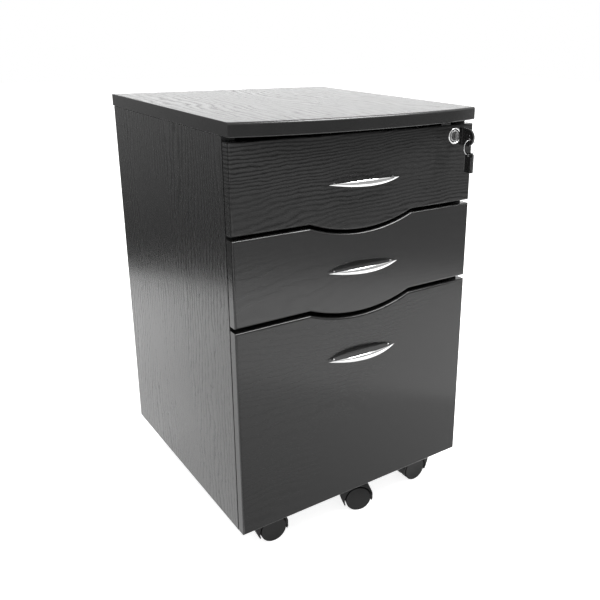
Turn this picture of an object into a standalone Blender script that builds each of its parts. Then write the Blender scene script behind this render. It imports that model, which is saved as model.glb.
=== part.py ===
"""Rolling pedestal cabinet: three drawers with wavy gaps, a bowed top, a cam lock and five casters.

Metres, +Z up, +X to the cabinet's right as seen from its front, front towards -Y.
The origin is on the floor, under the middle of the whole object's box.
"""

import math

import bmesh
import bpy

# Overall sizes
WIDTH = 0.392
HEIGHT = 0.6183
BACK_Y = 0.226
FRONT_Y = -0.184
BOARD = 0.018
GAP = 0.0003

# Carcass
SIDE_OUTER_X = 0.1955
SIDE_INNER_X = SIDE_OUTER_X - BOARD
SIDE_FRONT_Y = -0.166
SIDE_BACK_Y = 0.222
CARCASS_Z = 0.050
TOP_UNDER_Z = HEIGHT - BOARD
ARRIS = 0.0006

# Top panel's bowed front
BOW_CORNER_Y = -0.1855
BOW_DEPTH = 0.0225
BOW_POWER = 2.3
BOW_POINTS = 40
TOP_UPPER_ROUND = 0.007
TOP_LOWER_ROUND = 0.0025

# Drawer fronts and the wave between them
FRONT_THICK = 0.015
FRONT_ROUND = 0.003
FRONT_ROUND_STEPS = 4
FRONT_BACK_Y = FRONT_Y + FRONT_THICK
WAVE_HALF = 0.084
WAVE_RADIUS = 0.223
WAVE_POINTS = 24
KINK_RADIUS = 0.010

# Folded steel drawer boxes and runners
SHEET = 0.001
BOX_WALL_X = 0.1644
BOX_FRONT_Y = FRONT_BACK_Y + 0.0005
BOX_BACK_Y = 0.1815
BACK_WALL_Y = 0.1795
SIDE_FLANGE = 0.010
SIDE_HEM = 0.0045
WALL_CLEAR = 0.0004
BACK_BELOW_WALLS = 0.002
BACK_HEM = 0.006
RIB_DEPTH = 0.0086
RIB_TALL = 0.004
CHANNEL_SHEET = 0.0012
CHANNEL_WEB_X = 0.1765
CHANNEL_LIP_X = 0.1675
CHANNEL_TALL = 0.024
CHANNEL_ENDS_Y = (-0.160, 0.180)
RAIL_INNER_X = 0.1578
RAIL_OUTER_X = 0.1662
RAIL_LIP = 0.009
RAIL_ENDS_Y = (-0.160, 0.170)

# name: front's bottom and top, wave at bottom and top, box's bottom and top, rib's height, handle's height
DRAWERS = {
    "upper": (0.4805, 0.5945, True, False, 0.492, 0.567, 0.528, 0.5305),
    "middle": (0.3605, 0.4755, True, True, 0.372, 0.447, 0.408, 0.410),
    "file": (0.0520, 0.3545, False, True, 0.0785, 0.298, 0.180, 0.280),
}

# Handles
HANDLE_HALF = 0.058
HANDLE_HALF_TALL = 0.0048
HANDLE_HALF_DEEP = 0.0025
HANDLE_REACH = 0.016
HANDLE_TIP_REACH = 0.0035
POST_X = 0.048
POST_RADIUS = 0.002

# Lock
LOCK_X = 0.1585
LOCK_Z = 0.579
FLANGE_RADIUS = 0.01175
FLANGE_THICK = 0.0025
HOUSING_RADIUS = 0.009
PLUG_RADIUS = 0.0055
HOUSING_BACK_Y = -0.162
PLUG_FRONT_Y = -0.1862
CAM_Y = -0.1602
CAM_REACH = 0.0175
CAM_HALF = 0.0055
CAM_THICK = 0.0015
STRIKE_Y = -0.1655
STRIKE_BOTTOM_Z = 0.5905
STRIKE_HALF = 0.009
STRIKE_DEEP = 0.016
KEYWAY = (0.0026, 0.008)
KEYWAY_END_Y = -0.166
BLADE = (0.0020, 0.0074)
BLADE_TIP_Y = -0.1665
BLADE_ROOT = 0.004
BOW_BACK_Y = -0.196
BOW_ROUND_Y = -0.2137
BOW_RADIUS = 0.0123
BOW_THICK = 0.003
BOW_LIFT = 0.0012
EYE_Y = -0.2175
EYE_Z = LOCK_Z - 0.0015
EYE_RADIUS = 0.002
RING_RADIUS = 0.011
RING_WIRE = 0.00075
SPARE_HALF = 0.0085
SPARE_ABOVE_EYE = 0.0038
SPARE_BELOW_EYE = 0.0249

# Casters: a hood's outline is (from the wheels' centre towards the trailing side, height, corner radius)
WHEEL_RADIUS = 0.020
TRAIL = 0.015
CASTER_X = 0.149
CASTER_FRONT_Y = -0.140
CASTER_REAR_Y = 0.181
FILE_CASTER_Y = -0.1497
PLATE_SIDE = 0.038
FILE_PLATE_SIDE = 0.036
PLATE_THICK = 0.002
HOOD_HALF_WIDE = 0.018
HOOD_TOP_Z = 0.046
HOOD_OUTLINE = [
    (0.0212, 0.0138, 0.0005),
    (0.0232, 0.0165, 0.002),
    (0.0232, 0.0280, 0.012),
    (0.0170, 0.0430, 0.004),
    (0.0100, HOOD_TOP_Z, 0.004),
    (-0.0200, HOOD_TOP_Z, 0.006),
    (-0.0295, 0.0340, 0.004),
    (-0.0285, 0.0270, 0.003),
    (-0.0225, 0.0120, 0.0008),
    (-0.0080, 0.0110, 0.0),
    (0.0080, 0.0110, 0.0),
]
WEB_HALF = 0.0032
CAVITY_RADIUS = 0.021
PIN_RADIUS = 0.0035
PIN_CLEAR = 0.0003
PIN_BOTTOM_Z = 0.0366
COLLAR_RADIUS = 0.008
AXLE_RADIUS = 0.0025
AXLE_HALF = 0.015
WHEEL_IN = 0.0035
WHEEL_OUT = 0.0176
WHEEL_STEPS = 32

# name: kingpin's x and y, and the compass angle in degrees that the wheels trail towards
CASTERS = {
    "front_left": (-CASTER_X, CASTER_FRONT_Y, -4.5),
    "front_right": (CASTER_X, CASTER_FRONT_Y, 181.4),
    "rear_left": (-CASTER_X, CASTER_REAR_Y, 28.0),
    "rear_right": (CASTER_X, CASTER_REAR_Y, 154.0),
    "file": (0.0, FILE_CASTER_Y, -19.9),
}

# File drawer's caster block and the notch it passes through
BLOCK_HALF = 0.028
BLOCK_BACK_Y = -0.122
NOTCH_HALF = 0.045
NOTCH_BACK_Y = -0.099

COLOURS = {
    "black_ash": ((0.022, 0.021, 0.021, 1.0), 0.45, 0.0),
    "chrome": ((0.80, 0.80, 0.81, 1.0), 0.08, 1.0),
    "steel": ((0.45, 0.45, 0.46, 1.0), 0.35, 1.0),
    "painted_steel": ((0.030, 0.030, 0.032, 1.0), 0.40, 0.0),
    "black_plastic": ((0.015, 0.015, 0.016, 1.0), 0.38, 0.0),
}


def clear_scene():
    for obj in list(bpy.data.objects):
        bpy.data.objects.remove(obj, do_unlink=True)


def new_collection(name, hidden=False):
    collection = bpy.data.collections.new(name)
    collection.hide_render = hidden
    bpy.context.scene.collection.children.link(collection)
    return collection


def new_material(name, colour, rough, metallic):
    material = bpy.data.materials.new(name)
    material.use_nodes = True
    shader = material.node_tree.nodes["Principled BSDF"]
    shader.inputs["Base Color"].default_value = colour
    shader.inputs["Roughness"].default_value = rough
    shader.inputs["Metallic"].default_value = metallic
    material.diffuse_color = colour
    return material


def add_object(name, mesh, look, location=(0.0, 0.0, 0.0), turn=(0.0, 0.0, 0.0)):
    """One sub-part, with a material of its own."""
    obj = bpy.data.objects.new(name, mesh)
    PARTS.objects.link(obj)
    obj.location = location
    obj.rotation_euler = turn
    colour, rough, metallic = COLOURS[look]
    material = new_material(name, colour, rough, metallic)
    if not mesh.materials:
        mesh.materials.append(material)
    obj.material_slots[0].link = "OBJECT"
    obj.material_slots[0].material = material
    return obj


def finish_mesh(bm, name):
    mesh = bpy.data.meshes.new(name)
    bm.to_mesh(mesh)
    bm.free()
    return mesh


def block_mesh(name, low, high):
    bm = bmesh.new()
    bmesh.ops.create_cube(bm, size=1.0)
    for vert in bm.verts:
        for axis in range(3):
            middle = (low[axis] + high[axis]) / 2
            vert.co[axis] = middle + vert.co[axis] * (high[axis] - low[axis])
    return finish_mesh(bm, name)


def cylinder_mesh(name, radius, start, end, axis, centre=(0.0, 0.0, 0.0), segments=32):
    """A cylinder from start to end along one axis: 0 for X, 1 for Y, 2 for Z."""
    bm = bmesh.new()
    bmesh.ops.create_cone(
        bm, cap_ends=True, segments=segments, radius1=radius, radius2=radius, depth=end - start
    )
    middle = (start + end) / 2
    for vert in bm.verts:
        across_a, across_b, along = vert.co
        place = {
            0: (along + middle, across_a, across_b),
            1: (across_b, along + middle, across_a),
            2: (across_a, across_b, along + middle),
        }[axis]
        vert.co = [place[i] + centre[i] for i in range(3)]
    return finish_mesh(bm, name)


def rounded(corners, steps=4):
    """Outline points with an arc at each corner given as (x, y, radius)."""
    points = []
    count = len(corners)
    for i, (x, y, radius) in enumerate(corners):
        if radius <= 0:
            points.append((x, y))
            continue
        before = corners[i - 1]
        after = corners[(i + 1) % count]
        angle_in = math.atan2(before[1] - y, before[0] - x)
        angle_out = math.atan2(after[1] - y, after[0] - x)
        inside = (angle_out - angle_in + math.pi) % (2 * math.pi) - math.pi
        half = abs(inside) / 2
        middle = angle_in + inside / 2
        centre_x = x + radius / math.sin(half) * math.cos(middle)
        centre_y = y + radius / math.sin(half) * math.sin(middle)
        sweep = math.copysign(math.pi - 2 * half, -inside)
        start = middle + math.pi - sweep / 2
        for step in range(steps + 1):
            angle = start + sweep * step / steps
            points.append((centre_x + radius * math.cos(angle), centre_y + radius * math.sin(angle)))
    return points


def inset(points, distance):
    """An anticlockwise outline moved inwards, mitred at its corners."""
    moved = []
    for i, (x, y) in enumerate(points):
        before_x, before_y = points[i - 1]
        after_x, after_y = points[(i + 1) % len(points)]
        length_in = math.hypot(x - before_x, y - before_y)
        length_out = math.hypot(after_x - x, after_y - y)
        in_x, in_y = (x - before_x) / length_in, (y - before_y) / length_in
        out_x, out_y = (after_x - x) / length_out, (after_y - y) / length_out
        scale = distance / (1 + in_x * out_x + in_y * out_y)
        moved.append((x - (in_y + out_y) * scale, y + (in_x + out_x) * scale))
    return moved


def eased_plate_mesh(name, outline, thickness, radius, steps):
    """A plate about Z = 0 whose outline is rounded over at its upper face."""
    levels = [(0.0, -thickness / 2)]
    for i in range(steps + 1):
        turn = math.pi / 2 * i / steps
        levels.append((radius * (1 - math.cos(turn)), thickness / 2 - radius * (1 - math.sin(turn))))
    bm = bmesh.new()
    loops = []
    for inward, height in levels:
        loops.append([bm.verts.new((x, y, height)) for x, y in inset(outline, inward)])
    for low, high in zip(loops, loops[1:]):
        for i in range(len(outline)):
            bm.faces.new((low[i - 1], low[i], high[i], high[i - 1]))
    bm.faces.new(loops[0][::-1])
    bm.faces.new(loops[-1])
    return finish_mesh(bm, name)


def plate_mesh(name, points, thickness):
    """A flat outline in local XY, as thick as asked about Z = 0, as a closed mesh."""
    curve = bpy.data.curves.new(name, "CURVE")
    curve.dimensions = "2D"
    curve.fill_mode = "BOTH"
    curve.extrude = thickness / 2
    spline = curve.splines.new("POLY")
    spline.points.add(len(points) - 1)
    for point, (x, y) in zip(spline.points, points):
        point.co = (x, y, 0.0, 1.0)
    spline.use_cyclic_u = True
    guide = bpy.data.objects.new(name, curve)
    bpy.context.scene.collection.objects.link(guide)
    depsgraph = bpy.context.evaluated_depsgraph_get()
    mesh = bpy.data.meshes.new_from_object(guide.evaluated_get(depsgraph))
    bpy.data.objects.remove(guide, do_unlink=True)
    bpy.data.curves.remove(curve)
    bm = bmesh.new()
    bm.from_mesh(mesh)
    bmesh.ops.remove_doubles(bm, verts=bm.verts, dist=1e-6)
    bmesh.ops.recalc_face_normals(bm, faces=bm.faces)
    for up in (-1, 1):
        cap = [face for face in bm.faces if face.normal.z * up > 0.99]
        bmesh.ops.dissolve_faces(bm, faces=cap)
    bm.to_mesh(mesh)
    bm.free()
    mesh.name = name
    mesh.materials.clear()
    return mesh


def folded_mesh(name, path, start, end, axis):
    """Sheet metal folded along a path. The path is (x, z) drawn out along Y, or (y, z) along X."""
    bm = bmesh.new()
    rows = []
    for across, z in path:
        row = []
        for along in (start, end):
            place = (across, along, z) if axis == 1 else (along, across, z)
            row.append(bm.verts.new(place))
        rows.append(row)
    for row, after in zip(rows, rows[1:]):
        bm.faces.new((row[0], row[1], after[1], after[0]))
    return finish_mesh(bm, name)


def add_folded(name, path, start, end, thickness, axis, look):
    obj = add_object(name, folded_mesh(name, path, start, end, axis), look)
    solidify = obj.modifiers.new("sheet", "SOLIDIFY")
    solidify.thickness = thickness
    solidify.offset = 0.0
    solidify.use_even_offset = True
    return obj


def add_bevel(obj, width, segments=1, weighted=False):
    bevel = obj.modifiers.new("rounded edges", "BEVEL")
    bevel.width = width
    bevel.segments = segments
    bevel.limit_method = "WEIGHT" if weighted else "ANGLE"
    bevel.use_clamp_overlap = not weighted
    return bevel


def weight_edges(mesh, weights_of):
    """Gives each sharp edge the bevel weight that weights_of returns for its two ends."""
    bm = bmesh.new()
    bm.from_mesh(mesh)
    layer = bm.edges.layers.float.new("bevel_weight_edge")
    for edge in bm.edges:
        sharp = len(edge.link_faces) == 2 and edge.calc_face_angle() > math.radians(40)
        edge[layer] = weights_of(edge.verts[0].co, edge.verts[1].co) if sharp else 0.0
    bm.to_mesh(mesh)
    bm.free()


def cut(obj, mesh):
    """Takes the mesh's shape, drawn in the object's own frame, out of the object."""
    add_boolean(obj, mesh, "DIFFERENCE")


def join(obj, mesh):
    add_boolean(obj, mesh, "UNION")


def add_boolean(obj, mesh, operation):
    cutter = bpy.data.objects.new(mesh.name, mesh)
    CUTTERS.objects.link(cutter)
    cutter.parent = obj
    cutter.hide_render = True
    cutter.display_type = "WIRE"
    boolean = obj.modifiers.new(mesh.name, "BOOLEAN")
    boolean.operation = operation
    boolean.solver = "EXACT"
    boolean.object = cutter


def turned_mesh(name, profile, steps):
    """A profile of (radius, height) turned about Z, listed down its outer side."""
    bm = bmesh.new()
    verts = [bm.verts.new((radius, 0.0, height)) for radius, height in profile]
    for vert, after in zip(verts, verts[1:]):
        bm.edges.new((vert, after))
    mesh = finish_mesh(bm, name)
    guide = bpy.data.objects.new(name, mesh)
    bpy.context.scene.collection.objects.link(guide)
    screw = guide.modifiers.new("turned", "SCREW")
    screw.steps = steps
    screw.render_steps = steps
    screw.use_merge_vertices = True
    screw.merge_threshold = 0.00001
    screw.use_smooth_shade = True
    depsgraph = bpy.context.evaluated_depsgraph_get()
    turned = bpy.data.meshes.new_from_object(guide.evaluated_get(depsgraph))
    bpy.data.objects.remove(guide, do_unlink=True)
    turned.name = name
    turned.set_sharp_from_angle(angle=math.radians(35))
    return turned


def baked(obj):
    """The object's mesh with its modifiers applied; the object and its cutters are removed."""
    depsgraph = bpy.context.evaluated_depsgraph_get()
    mesh = bpy.data.meshes.new_from_object(obj.evaluated_get(depsgraph))
    for child in list(obj.children):
        bpy.data.objects.remove(child, do_unlink=True)
    bpy.data.objects.remove(obj, do_unlink=True)
    mesh.shade_smooth()
    mesh.set_sharp_from_angle(angle=math.radians(35))
    mesh.materials.clear()
    return mesh


def add_board(name, low, high):
    board = add_object(name, block_mesh(name, low, high), "black_ash")
    add_bevel(board, ARRIS)
    return board


def add_top_panel():
    half = WIDTH / 2
    bow = []
    for i in range(BOW_POINTS + 1):
        x = -half + WIDTH * i / BOW_POINTS
        bow.append((x, BOW_CORNER_Y - BOW_DEPTH * (1 - abs(x / half) ** BOW_POWER)))
    mesh = plate_mesh("top_panel", [*bow, (half, BACK_Y), (-half, BACK_Y)], BOARD)

    def weights(a, b):
        on_front = max(a.y, b.y) < BOW_CORNER_Y + GAP
        along = abs(a.z - b.z) < BOARD / 2
        if not (on_front and along):
            return 0.0
        return 1.0 if a.z > 0 else TOP_LOWER_ROUND / TOP_UPPER_ROUND

    weight_edges(mesh, weights)
    top = add_object("top_panel", mesh, "black_ash", (0.0, 0.0, HEIGHT - BOARD / 2))
    add_bevel(top, TOP_UPPER_ROUND, 5, weighted=True)


def add_carcass():
    add_top_panel()
    for name, sign in (("side_left", -1), ("side_right", 1)):
        xs = sorted((sign * SIDE_INNER_X, sign * SIDE_OUTER_X))
        add_board(
            name, (xs[0], SIDE_FRONT_Y, CARCASS_Z), (xs[1], SIDE_BACK_Y, TOP_UNDER_Z - GAP)
        )
    inner = SIDE_INNER_X - GAP
    add_board(
        "back_panel",
        (-inner, SIDE_BACK_Y - BOARD, CARCASS_Z),
        (inner, SIDE_BACK_Y, TOP_UNDER_Z - GAP),
    )
    bottom_back = SIDE_BACK_Y - BOARD - GAP
    outline = [
        (-inner, SIDE_FRONT_Y),
        (-NOTCH_HALF, SIDE_FRONT_Y),
        (-NOTCH_HALF, NOTCH_BACK_Y),
        (NOTCH_HALF, NOTCH_BACK_Y),
        (NOTCH_HALF, SIDE_FRONT_Y),
        (inner, SIDE_FRONT_Y),
        (inner, bottom_back),
        (-inner, bottom_back),
    ]
    mesh = plate_mesh("bottom_panel", outline, BOARD)
    bottom = add_object("bottom_panel", mesh, "black_ash", (0.0, 0.0, CARCASS_Z + BOARD / 2))
    add_bevel(bottom, ARRIS)
    flange_z = TOP_UNDER_Z - GAP - SHEET / 2
    strike = [(STRIKE_Y + STRIKE_DEEP, flange_z), (STRIKE_Y, flange_z), (STRIKE_Y, STRIKE_BOTTOM_Z)]
    add_folded("strike_plate", strike, LOCK_X - STRIKE_HALF, LOCK_X + STRIKE_HALF, SHEET, 0, "steel")


def wave_edge(level):
    """Outline points of a wavy edge from left to right: straight, a dip between two kinks, straight."""
    rim = math.sqrt(WAVE_RADIUS**2 - WAVE_HALF**2)
    points = []
    for i in range(WAVE_POINTS + 1):
        x = WAVE_HALF * (2 * i / WAVE_POINTS - 1)
        radius = KINK_RADIUS if i in (0, WAVE_POINTS) else 0.0
        points.append((x, level + rim - math.sqrt(WAVE_RADIUS**2 - x**2), radius))
    return points


def add_front(name, bottom, top, wave_bottom, wave_top):
    """A drawer front as a plate drawn in local XY and stood up, its rounded face towards -Y."""
    half = WIDTH / 2
    corners = [(-half, bottom, 0.0)]
    if wave_bottom:
        corners += wave_edge(bottom)
    corners += [(half, bottom, 0.0), (half, top, 0.0)]
    if wave_top:
        corners += wave_edge(top)[::-1]
    corners.append((-half, top, 0.0))
    mesh = eased_plate_mesh(name, rounded(corners), FRONT_THICK, FRONT_ROUND, FRONT_ROUND_STEPS)
    place = (0.0, FRONT_Y + FRONT_THICK / 2, 0.0)
    return add_object(name, mesh, "black_ash", place, (math.pi / 2, 0.0, 0.0))


def add_handle(name, height):
    """A chrome leaf bowed away from the front, with two posts behind it."""
    bm = bmesh.new()
    bmesh.ops.create_uvsphere(bm, u_segments=16, v_segments=24, radius=1.0)
    for vert in bm.verts:
        along = vert.co.z
        taper = math.sqrt(max(0.0, 1 - along**2))
        reach = HANDLE_TIP_REACH + (HANDLE_REACH - HANDLE_TIP_REACH) * (1 - along**2)
        vert.co = (
            along * HANDLE_HALF,
            -reach - vert.co.y * taper * HANDLE_HALF_DEEP,
            vert.co.x * taper * HANDLE_HALF_TALL,
        )
    bmesh.ops.recalc_face_normals(bm, faces=bm.faces)
    mesh = finish_mesh(bm, name)
    handle = add_object(name, mesh, "chrome", (0.0, FRONT_Y, height))
    spread = 1 - (POST_X / HANDLE_HALF) ** 2
    post_reach = HANDLE_TIP_REACH + (HANDLE_REACH - HANDLE_TIP_REACH) * spread
    for side in (-1, 1):
        post = cylinder_mesh(
            f"{name}_post_{side}", POST_RADIUS, -post_reach, -GAP, 1, (side * POST_X, 0.0, 0.0), 16
        )
        join(handle, post)
    mesh.shade_smooth()


def add_drawer_box(name, bottom, top, rib):
    """A folded steel box whose side walls' ribs slide in channels on the carcass."""
    for side_name, sign in (("left", -1), ("right", 1)):
        wall = sign * BOX_WALL_X
        out = wall + sign * RIB_DEPTH
        path = [
            (wall - sign * SIDE_FLANGE, bottom),
            (wall, bottom),
            (wall, rib - RIB_TALL / 2),
            (out, rib - RIB_TALL / 2),
            (out, rib + RIB_TALL / 2),
            (wall, rib + RIB_TALL / 2),
            (wall, top),
            (wall - sign * SIDE_HEM, top),
        ]
        node = f"{name}_drawer_side_{side_name}"
        add_folded(node, path, BOX_FRONT_Y, BOX_BACK_Y, SHEET, 1, "painted_steel")
        low = rib - CHANNEL_TALL / 2
        high = rib + CHANNEL_TALL / 2
        channel = [
            (sign * CHANNEL_LIP_X, low),
            (sign * CHANNEL_WEB_X, low),
            (sign * CHANNEL_WEB_X, high),
            (sign * CHANNEL_LIP_X, high),
        ]
        add_folded(
            f"{name}_runner_{side_name}", channel, *CHANNEL_ENDS_Y, CHANNEL_SHEET, 1, "painted_steel"
        )
    inner = BOX_WALL_X - SHEET / 2 - WALL_CLEAR
    floor_z = bottom + SHEET / 2 + GAP
    back = [
        (BACK_WALL_Y, floor_z + SHEET + GAP),
        (BACK_WALL_Y, top - BACK_BELOW_WALLS),
        (BACK_WALL_Y - BACK_HEM, top - BACK_BELOW_WALLS),
    ]
    add_folded(f"{name}_drawer_back", back, -inner, inner, SHEET, 0, "painted_steel")
    floor = block_mesh(
        f"{name}_drawer_bottom", (-inner, BOX_FRONT_Y, floor_z), (inner, BOX_BACK_Y, floor_z + SHEET)
    )
    add_object(f"{name}_drawer_bottom", floor, "painted_steel")


def add_file_rails(top):
    """Inverted channels over the file drawer's side walls, which hanging files hook on."""
    crown = top + SHEET + GAP
    for side_name, sign in (("left", -1), ("right", 1)):
        path = [
            (sign * RAIL_INNER_X, crown - RAIL_LIP),
            (sign * RAIL_INNER_X, crown),
            (sign * RAIL_OUTER_X, crown),
            (sign * RAIL_OUTER_X, crown - RAIL_LIP),
        ]
        add_folded(f"file_rail_{side_name}", path, *RAIL_ENDS_Y, SHEET, 1, "steel")


def add_drawers():
    for name, sizes in DRAWERS.items():
        bottom, top, wave_bottom, wave_top, box_bottom, box_top, rib, handle = sizes
        front = add_front(f"{name}_drawer_front", bottom, top, wave_bottom, wave_top)
        if name == "upper":
            hole = HOUSING_RADIUS + GAP
            centre = (LOCK_X, LOCK_Z, 0.0)
            cut(front, cylinder_mesh("lock_hole", hole, -FRONT_THICK, FRONT_THICK, 2, centre))
        add_drawer_box(name, box_bottom, box_top, rib)
        add_handle(f"{name}_handle", handle)
    box_bottom, box_top = DRAWERS["file"][4:6]
    add_file_rails(box_top)
    block = block_mesh(
        "file_caster_block",
        (-BLOCK_HALF, BOX_FRONT_Y, CARCASS_Z + GAP),
        (BLOCK_HALF, BLOCK_BACK_Y, box_bottom - SHEET),
    )
    add_bevel(add_object("file_caster_block", block, "black_plastic"), 0.001)


def add_lock():
    """The housing, plug and cam have their origins on the plug's axis, which is the lock's joint."""
    axis = (LOCK_X, 0.0, LOCK_Z)
    body = cylinder_mesh("lock_housing", HOUSING_RADIUS, FRONT_Y - GAP - 0.001, HOUSING_BACK_Y, 1)
    housing = add_object("lock_housing", body, "chrome", axis)
    flange_y = FRONT_Y - GAP - FLANGE_THICK
    flange = cylinder_mesh("lock_flange", FLANGE_RADIUS, flange_y, FRONT_Y - GAP, 1, segments=48)
    join(housing, flange)
    cut(housing, cylinder_mesh("lock_bore", PLUG_RADIUS + GAP, -0.2, -0.1, 1))

    plug_mesh = cylinder_mesh("lock_plug", PLUG_RADIUS, PLUG_FRONT_Y, CAM_Y - GAP, 1)
    plug = add_object("lock_plug", plug_mesh, "chrome", axis)
    slot_x, slot_z = KEYWAY
    slot = block_mesh("keyway", (-slot_x / 2, -0.2, -slot_z / 2), (slot_x / 2, KEYWAY_END_Y, slot_z / 2))
    cut(plug, slot)

    cam_outline = rounded(
        [
            (-CAM_REACH, -CAM_HALF, 0.002),
            (CAM_HALF, -CAM_HALF, 0.005),
            (CAM_HALF, CAM_HALF, 0.005),
            (-CAM_REACH, CAM_HALF, 0.002),
        ]
    )
    cam_mesh = plate_mesh("lock_cam", cam_outline, CAM_THICK)
    cam_place = (LOCK_X, CAM_Y + CAM_THICK / 2, LOCK_Z)
    add_object("lock_cam", cam_mesh, "steel", cam_place, (math.pi / 2, 0.0, 0.0))

    add_key()
    add_spare_key()
    bpy.ops.mesh.primitive_torus_add(
        major_radius=RING_RADIUS, minor_radius=RING_WIRE, major_segments=40, minor_segments=8
    )
    ring = bpy.context.object
    ring_mesh = ring.data
    bpy.data.objects.remove(ring, do_unlink=True)
    ring_mesh.name = "key_ring"
    ring_mesh.shade_smooth()
    ring_place = (LOCK_X, EYE_Y, EYE_Z - RING_RADIUS)
    add_object("key_ring", ring_mesh, "chrome", ring_place, (math.pi / 2, 0.0, 0.0))


def eye_cutter(name, centre):
    return cylinder_mesh(name, EYE_RADIUS, -0.01, 0.01, 2, centre, 24)


def add_key():
    """The key's black bow is drawn in local XY, X along world -Y, and its blade is joined to it."""
    outline = [(-BOW_BACK_Y, BOW_RADIUS), (-BOW_BACK_Y, -BOW_RADIUS)]
    for i in range(17):
        angle = -math.pi / 2 + math.pi * i / 16
        x = -BOW_ROUND_Y + BOW_RADIUS * math.cos(angle)
        outline.append((x, BOW_RADIUS * math.sin(angle)))
    mesh = plate_mesh("key", outline, BOW_THICK)
    place = (LOCK_X, 0.0, LOCK_Z + BOW_LIFT)
    key = add_object("key", mesh, "black_plastic", place, (math.pi / 2, 0.0, -math.pi / 2))
    blade_x, blade_z = BLADE
    blade = block_mesh(
        "key_blade",
        (-BLADE_TIP_Y, -blade_z / 2 - BOW_LIFT, -blade_x / 2),
        (-BOW_BACK_Y + BLADE_ROOT, blade_z / 2 - BOW_LIFT, blade_x / 2),
    )
    join(key, blade)
    cut(key, eye_cutter("key_eye", (-EYE_Y, EYE_Z - LOCK_Z - BOW_LIFT, 0.0)))


def add_spare_key():
    """A folded spare key, hanging from the ring by its eye."""
    eye_z = EYE_Z - 2 * RING_RADIUS
    outline = rounded(
        [
            (-SPARE_HALF, -SPARE_BELOW_EYE, 0.002),
            (SPARE_HALF, -SPARE_BELOW_EYE, 0.002),
            (SPARE_HALF, SPARE_ABOVE_EYE, 0.004),
            (-SPARE_HALF, SPARE_ABOVE_EYE, 0.004),
        ]
    )
    mesh = plate_mesh("spare_key", outline, BOW_THICK)
    place = (LOCK_X, EYE_Y, eye_z)
    spare = add_object("spare_key", mesh, "black_plastic", place, (math.pi / 2, 0.0, -math.pi / 2))
    cut(spare, eye_cutter("spare_eye", (0.0, 0.0, 0.0)))


def hood_mesh():
    """Twin-wheel hood, kingpin axis at X = 0 and Y = 0, wheels trailing towards +X, floor at Z = 0."""
    corners = [(TRAIL + from_wheels, z, radius) for from_wheels, z, radius in HOOD_OUTLINE]
    plate = plate_mesh("hood", rounded(corners), 2 * HOOD_HALF_WIDE)
    for vert in plate.vertices:
        x, z, across = vert.co
        vert.co = (x, -across, z)
    hood = bpy.data.objects.new("hood", plate)
    PARTS.objects.link(hood)
    wheel_centre = (TRAIL, 0.0, WHEEL_RADIUS)
    for side in (-1, 1):
        ends = sorted((side * WEB_HALF, side * (HOOD_HALF_WIDE + 0.002)))
        cut(hood, cylinder_mesh(f"wheel_space_{side}", CAVITY_RADIUS, *ends, 1, wheel_centre, 48))
    bore = PIN_RADIUS + PIN_CLEAR
    cut(hood, cylinder_mesh("kingpin_bore", bore, PIN_BOTTOM_Z - PIN_CLEAR, 0.06, 2, segments=24))
    join(hood, cylinder_mesh("axle", AXLE_RADIUS, -AXLE_HALF, AXLE_HALF, 1, wheel_centre, 24))
    return baked(hood)


def wheel_mesh():
    """A wheel turned about Z, outer face up, with a blind bore for the axle in its inner face."""
    wide = WHEEL_OUT - WHEEL_IN
    bore = AXLE_RADIUS + PIN_CLEAR
    bore_end = AXLE_HALF + PIN_CLEAR - WHEEL_IN
    profile = [
        (0.0, wide - 0.0010),
        (0.0120, wide - 0.0007),
        (0.0170, wide),
        (0.0188, wide),
        (WHEEL_RADIUS, wide - 0.0012),
        (WHEEL_RADIUS, 0.0012),
        (0.0188, 0.0),
        (bore, 0.0),
        (bore, bore_end),
        (0.0, bore_end),
    ]
    return turned_mesh("wheel", profile, WHEEL_STEPS)


def plate_with_pin_mesh(side, ceiling):
    """Mounting plate under a ceiling at the given height, with the collar and kingpin below it."""
    top = ceiling - GAP
    mesh = block_mesh("caster_plate", (-side / 2, -side / 2, top - PLATE_THICK), (side / 2, side / 2, top))
    plate = bpy.data.objects.new("caster_plate", mesh)
    PARTS.objects.link(plate)
    add_bevel(plate, 0.0005)
    under = top - PLATE_THICK / 2
    join(plate, cylinder_mesh("collar", COLLAR_RADIUS, HOOD_TOP_Z + GAP, under, 2, segments=24))
    join(plate, cylinder_mesh("kingpin", PIN_RADIUS, PIN_BOTTOM_Z, under, 2, segments=24))
    return baked(plate)


def add_casters():
    """Each caster hangs under an empty on its kingpin's axis, turned to where its wheels trail."""
    hood = hood_mesh()
    wheel = wheel_mesh()
    plates = {
        PLATE_SIDE: plate_with_pin_mesh(PLATE_SIDE, CARCASS_Z),
        FILE_PLATE_SIDE: plate_with_pin_mesh(FILE_PLATE_SIDE, CARCASS_Z),
    }
    for name, (x, y, angle) in CASTERS.items():
        prefix = f"{name}_caster"
        side = FILE_PLATE_SIDE if name == "file" else PLATE_SIDE
        add_object(f"{prefix}_plate", plates[side], "steel", (x, y, 0.0))
        swivel = bpy.data.objects.new(f"{prefix}_swivel", None)
        PARTS.objects.link(swivel)
        swivel.location = (x, y, 0.0)
        swivel.rotation_euler = (0.0, 0.0, math.radians(angle))
        hood_object = add_object(f"{prefix}_hood", hood, "black_plastic")
        hood_object.parent = swivel
        for letter, side in (("a", 1), ("b", -1)):
            place = (TRAIL, side * WHEEL_IN, WHEEL_RADIUS)
            turn = (-side * math.pi / 2, 0.0, 0.0)
            wheel_object = add_object(f"{prefix}_wheel_{letter}", wheel, "black_plastic", place, turn)
            wheel_object.parent = swivel


clear_scene()
PARTS = new_collection("rolling_pedestal_cabinet")
CUTTERS = new_collection("cutters", hidden=True)
add_carcass()
add_drawers()
add_lock()
add_casters()
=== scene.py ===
"""Looks of the rolling pedestal cabinet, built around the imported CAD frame.

Metres, +Z up, front towards -Y.
"""

import math

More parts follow.
